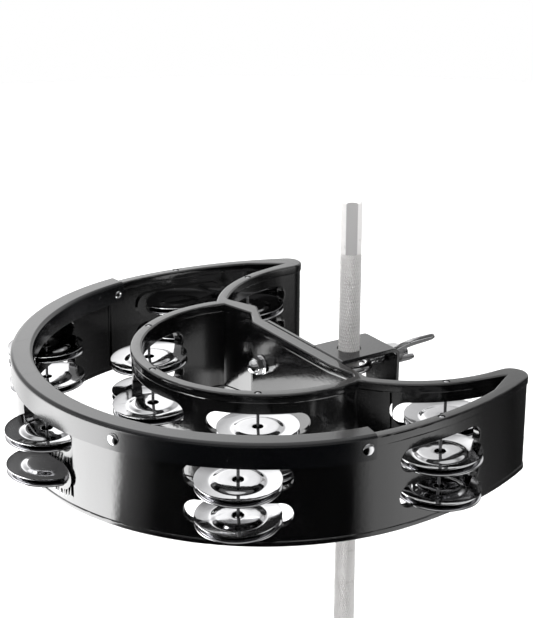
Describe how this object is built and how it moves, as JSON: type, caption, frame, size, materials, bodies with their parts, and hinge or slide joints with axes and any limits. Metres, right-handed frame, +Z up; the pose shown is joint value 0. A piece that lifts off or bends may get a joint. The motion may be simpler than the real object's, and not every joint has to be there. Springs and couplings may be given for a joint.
{
  "type": "tambourine",
  "caption": "Crescent tambourine with two rows of paired jingles, a riveted striking channel and a clamp bracket on a knurled rod.",
  "frame": {"origin": "centre of the rod's foot, on its end face", "axes": "+Z up along the rod; +X along the cross bar towards the horn beside the bracket; +Y from the cross bar towards the open side"},
  "size_m": [0.2832, 0.2307, 0.25],
  "materials": {
    "moulded_plastic": "gloss black, moulded",
    "channel_steel": "satin black lacquer",
    "bracket_steel": "gloss black enamel",
    "jingle_chrome": "mirror chrome",
    "pin_steel": "drawn wire, plated",
    "hardware_chrome": "bright plating",
    "rod_steel": "bright plating over a diamond knurl"
  },
  "bodies": {
    "rod": {"rod": "rod_steel"},
    "tambourine": {"frame": "moulded_plastic", "strike_channel": "channel_steel", "channel_rivets": "hardware_chrome", "jingle_pins": "pin_steel", "bracket": "bracket_steel", "bracket_screws": "hardware_chrome", "bracket_washers": "hardware_chrome", "acorn_nuts": "hardware_chrome"},
    "eyebolt": {"eyebolt": "hardware_chrome"},
    "wing_nut": {"wing_nut": "hardware_chrome"},
    "jingle_rim_1_lower_bottom": {"jingle_rim_1_lower_bottom": "jingle_chrome"},
    "jingle_rim_1_lower_top": {"jingle_rim_1_lower_top": "jingle_chrome"},
    "jingle_rim_1_upper_bottom": {"jingle_rim_1_upper_bottom": "jingle_chrome"},
    "jingle_rim_1_upper_top": {"jingle_rim_1_upper_top": "jingle_chrome"},
    "jingle_rim_2_lower_bottom": {"jingle_rim_2_lower_bottom": "jingle_chrome"},
    "jingle_rim_2_lower_top": {"jingle_rim_2_lower_top": "jingle_chrome"},
    "jingle_rim_2_upper_bottom": {"jingle_rim_2_upper_bottom": "jingle_chrome"},
    "jingle_rim_2_upper_top": {"jingle_rim_2_upper_top": "jingle_chrome"},
    "jingle_rim_3_lower_bottom": {"jingle_rim_3_lower_bottom": "jingle_chrome"},
    "jingle_rim_3_lower_top": {"jingle_rim_3_lower_top": "jingle_chrome"},
    "jingle_rim_3_upper_bottom": {"jingle_rim_3_upper_bottom": "jingle_chrome"},
    "jingle_rim_3_upper_top": {"jingle_rim_3_upper_top": "jingle_chrome"},
    "jingle_rim_4_lower_bottom": {"jingle_rim_4_lower_bottom": "jingle_chrome"},
    "jingle_rim_4_lower_top": {"jingle_rim_4_lower_top": "jingle_chrome"},
    "jingle_rim_4_upper_bottom": {"jingle_rim_4_upper_bottom": "jingle_chrome"},
    "jingle_rim_4_upper_top": {"jingle_rim_4_upper_top": "jingle_chrome"},
    "jingle_rim_5_lower_bottom": {"jingle_rim_5_lower_bottom": "jingle_chrome"},
    "jingle_rim_5_lower_top": {"jingle_rim_5_lower_top": "jingle_chrome"},
    "jingle_rim_5_upper_bottom": {"jingle_rim_5_upper_bottom": "jingle_chrome"},
    "jingle_rim_5_upper_top": {"jingle_rim_5_upper_top": "jingle_chrome"},
    "jingle_loop_1_lower_bottom": {"jingle_loop_1_lower_bottom": "jingle_chrome"},
    "jingle_loop_1_lower_top": {"jingle_loop_1_lower_top": "jingle_chrome"},
    "jingle_loop_1_upper_bottom": {"jingle_loop_1_upper_bottom": "jingle_chrome"},
    "jingle_loop_1_upper_top": {"jingle_loop_1_upper_top": "jingle_chrome"},
    "jingle_loop_2_lower_bottom": {"jingle_loop_2_lower_bottom": "jingle_chrome"},
    "jingle_loop_2_lower_top": {"jingle_loop_2_lower_top": "jingle_chrome"},
    "jingle_loop_2_upper_bottom": {"jingle_loop_2_upper_bottom": "jingle_chrome"},
    "jingle_loop_2_upper_top": {"jingle_loop_2_upper_top": "jingle_chrome"},
    "jingle_loop_3_lower_bottom": {"jingle_loop_3_lower_bottom": "jingle_chrome"},
    "jingle_loop_3_lower_top": {"jingle_loop_3_lower_top": "jingle_chrome"},
    "jingle_loop_3_upper_bottom": {"jingle_loop_3_upper_bottom": "jingle_chrome"},
    "jingle_loop_3_upper_top": {"jingle_loop_3_upper_top": "jingle_chrome"},
    "jingle_horn_left_lower_bottom": {"jingle_horn_left_lower_bottom": "jingle_chrome"},
    "jingle_horn_left_lower_top": {"jingle_horn_left_lower_top": "jingle_chrome"},
    "jingle_horn_left_upper_bottom": {"jingle_horn_left_upper_bottom": "jingle_chrome"},
    "jingle_horn_left_upper_top": {"jingle_horn_left_upper_top": "jingle_chrome"},
    "jingle_horn_right_lower_bottom": {"jingle_horn_right_lower_bottom": "jingle_chrome"},
    "jingle_horn_right_lower_top": {"jingle_horn_right_lower_top": "jingle_chrome"},
    "jingle_horn_right_upper_bottom": {"jingle_horn_right_upper_bottom": "jingle_chrome"},
    "jingle_horn_right_upper_top": {"jingle_horn_right_upper_top": "jingle_chrome"}
  },
  "joints": [
    {"name": "height_on_rod", "type": "slide", "parent": "rod", "child": "tambourine", "axis": [0, 0, 1], "range_m": [-0.1, 0.05]},
    {"name": "wing_nut_turn", "type": "hinge", "parent": "tambourine", "child": "wing_nut", "pos_m": [0, 0.0223, 0.163], "axis": [0, 1, 0], "range_deg": [0, 720]},
    {"name": "clamp_release", "type": "slide", "parent": "tambourine", "child": "eyebolt", "axis": [0, -1, 0], "range_m": [0, 0.00201]},
    {"name": "rim_1_lower_bottom_rattle", "type": "slide", "parent": "tambourine", "child": "jingle_rim_1_lower_bottom", "axis": [0, 0, 1], "range_m": [0, 0.00245]},
    {"name": "rim_1_lower_top_rattle", "type": "slide", "parent": "jingle_rim_1_lower_bottom", "child": "jingle_rim_1_lower_top", "axis": [0, 0, 1], "range_m": [0, 0.00245]},
    {"name": "rim_1_upper_bottom_rattle", "type": "slide", "parent": "tambourine", "child": "jingle_rim_1_upper_bottom", "axis": [0, 0, 1], "range_m": [0, 0.00245]},
    {"name": "rim_1_upper_top_rattle", "type": "slide", "parent": "jingle_rim_1_upper_bottom", "child": "jingle_rim_1_upper_top", "axis": [0, 0, 1], "range_m": [0, 0.00245]},
    {"name": "rim_2_lower_bottom_rattle", "type": "slide", "parent": "tambourine", "child": "jingle_rim_2_lower_bottom", "axis": [0, 0, 1], "range_m": [0, 0.00245]},
    {"name": "rim_2_lower_top_rattle", "type": "slide", "parent": "jingle_rim_2_lower_bottom", "child": "jingle_rim_2_lower_top", "axis": [0, 0, 1], "range_m": [0, 0.00245]},
    {"name": "rim_2_upper_bottom_rattle", "type": "slide", "parent": "tambourine", "child": "jingle_rim_2_upper_bottom", "axis": [0, 0, 1], "range_m": [0, 0.00245]},
    {"name": "rim_2_upper_top_rattle", "type": "slide", "parent": "jingle_rim_2_upper_bottom", "child": "jingle_rim_2_upper_top", "axis": [0, 0, 1], "range_m": [0, 0.00245]},
    {"name": "rim_3_lower_bottom_rattle", "type": "slide", "parent": "tambourine", "child": "jingle_rim_3_lower_bottom", "axis": [0, 0, 1], "range_m": [0, 0.00245]},
    {"name": "rim_3_lower_top_rattle", "type": "slide", "parent": "jingle_rim_3_lower_bottom", "child": "jingle_rim_3_lower_top", "axis": [0, 0, 1], "range_m": [0, 0.00245]},
    {"name": "rim_3_upper_bottom_rattle", "type": "slide", "parent": "tambourine", "child": "jingle_rim_3_upper_bottom", "axis": [0, 0, 1], "range_m": [0, 0.00245]},
    {"name": "rim_3_upper_top_rattle", "type": "slide", "parent": "jingle_rim_3_upper_bottom", "child": "jingle_rim_3_upper_top", "axis": [0, 0, 1], "range_m": [0, 0.00245]},
    {"name": "rim_4_lower_bottom_rattle", "type": "slide", "parent": "tambourine", "child": "jingle_rim_4_lower_bottom", "axis": [0, 0, 1], "range_m": [0, 0.00245]},
    {"name": "rim_4_lower_top_rattle", "type": "slide", "parent": "jingle_rim_4_lower_bottom", "child": "jingle_rim_4_lower_top", "axis": [0, 0, 1], "range_m": [0, 0.00245]},
    {"name": "rim_4_upper_bottom_rattle", "type": "slide", "parent": "tambourine", "child": "jingle_rim_4_upper_bottom", "axis": [0, 0, 1], "range_m": [0, 0.00245]},
    {"name": "rim_4_upper_top_rattle", "type": "slide", "parent": "jingle_rim_4_upper_bottom", "child": "jingle_rim_4_upper_top", "axis": [0, 0, 1], "range_m": [0, 0.00245]},
    {"name": "rim_5_lower_bottom_rattle", "type": "slide", "parent": "tambourine", "child": "jingle_rim_5_lower_bottom", "axis": [0, 0, 1], "range_m": [0, 0.00245]},
    {"name": "rim_5_lower_top_rattle", "type": "slide", "parent": "jingle_rim_5_lower_bottom", "child": "jingle_rim_5_lower_top", "axis": [0, 0, 1], "range_m": [0, 0.00245]},
    {"name": "rim_5_upper_bottom_rattle", "type": "slide", "parent": "tambourine", "child": "jingle_rim_5_upper_bottom", "axis": [0, 0, 1], "range_m": [0, 0.00245]},
    {"name": "rim_5_upper_top_rattle", "type": "slide", "parent": "jingle_rim_5_upper_bottom", "child": "jingle_rim_5_upper_top", "axis": [0, 0, 1], "range_m": [0, 0.00245]},
    {"name": "loop_1_lower_bottom_rattle", "type": "slide", "parent": "tambourine", "child": "jingle_loop_1_lower_bottom", "axis": [0, 0, 1], "range_m": [0, 0.00245]},
    {"name": "loop_1_lower_top_rattle", "type": "slide", "parent": "jingle_loop_1_lower_bottom", "child": "jingle_loop_1_lower_top", "axis": [0, 0, 1], "range_m": [0, 0.00245]},
    {"name": "loop_1_upper_bottom_rattle", "type": "slide", "parent": "tambourine", "child": "jingle_loop_1_upper_bottom", "axis": [0, 0, 1], "range_m": [0, 0.00245]},
    {"name": "loop_1_upper_top_rattle", "type": "slide", "parent": "jingle_loop_1_upper_bottom", "child": "jingle_loop_1_upper_top", "axis": [0, 0, 1], "range_m": [0, 0.00245]},
    {"name": "loop_2_lower_bottom_rattle", "type": "slide", "parent": "tambourine", "child": "jingle_loop_2_lower_bottom", "axis": [0, 0, 1], "range_m": [0, 0.00245]},
    {"name": "loop_2_lower_top_rattle", "type": "slide", "parent": "jingle_loop_2_lower_bottom", "child": "jingle_loop_2_lower_top", "axis": [0, 0, 1], "range_m": [0, 0.00245]},
    {"name": "loop_2_upper_bottom_rattle", "type": "slide", "parent": "tambourine", "child": "jingle_loop_2_upper_bottom", "axis": [0, 0, 1], "range_m": [0, 0.00245]},
    {"name": "loop_2_upper_top_rattle", "type": "slide", "parent": "jingle_loop_2_upper_bottom", "child": "jingle_loop_2_upper_top", "axis": [0, 0, 1], "range_m": [0, 0.00245]},
    {"name": "loop_3_lower_bottom_rattle", "type": "slide", "parent": "tambourine", "child": "jingle_loop_3_lower_bottom", "axis": [0, 0, 1], "range_m": [0, 0.00245]},
    {"name": "loop_3_lower_top_rattle", "type": "slide", "parent": "jingle_loop_3_lower_bottom", "child": "jingle_loop_3_lower_top", "axis": [0, 0, 1], "range_m": [0, 0.00245]},
    {"name": "loop_3_upper_bottom_rattle", "type": "slide", "parent": "tambourine", "child": "jingle_loop_3_upper_bottom", "axis": [0, 0, 1], "range_m": [0, 0.00245]},
    {"name": "loop_3_upper_top_rattle", "type": "slide", "parent": "jingle_loop_3_upper_bottom", "child": "jingle_loop_3_upper_top", "axis": [0, 0, 1], "range_m": [0, 0.00245]},
    {"name": "horn_left_lower_bottom_rattle", "type": "slide", "parent": "tambourine", "child": "jingle_horn_left_lower_bottom", "axis": [0, 0, 1], "range_m": [0, 0.00245]},
    {"name": "horn_left_lower_top_rattle", "type": "slide", "parent": "jingle_horn_left_lower_bottom", "child": "jingle_horn_left_lower_top", "axis": [0, 0, 1], "range_m": [0, 0.00245]},
    {"name": "horn_left_upper_bottom_rattle", "type": "slide", "parent": "tambourine", "child": "jingle_horn_left_upper_bottom", "axis": [0, 0, 1], "range_m": [0, 0.00245]},
    {"name": "horn_left_upper_top_rattle", "type": "slide", "parent": "jingle_horn_left_upper_bottom", "child": "jingle_horn_left_upper_top", "axis": [0, 0, 1], "range_m": [0, 0.00245]},
    {"name": "horn_right_lower_bottom_rattle", "type": "slide", "parent": "tambourine", "child": "jingle_horn_right_lower_bottom", "axis": [0, 0, 1], "range_m": [0, 0.00245]},
    {"name": "horn_right_lower_top_rattle", "type": "slide", "parent": "jingle_horn_right_lower_bottom", "child": "jingle_horn_right_lower_top", "axis": [0, 0, 1], "range_m": [0, 0.00245]},
    {"name": "horn_right_upper_bottom_rattle", "type": "slide", "parent": "tambourine", "child": "jingle_horn_right_upper_bottom", "axis": [0, 0, 1], "range_m": [0, 0.00245]},
    {"name": "horn_right_upper_top_rattle", "type": "slide", "parent": "jingle_horn_right_upper_bottom", "child": "jingle_horn_right_upper_top", "axis": [0, 0, 1], "range_m": [0, 0.00245]}
  ],
  "couplings": [
    {"joint": "clamp_release", "follows": "wing_nut_turn", "m_per_rad": 0.00015915}
  ]
}
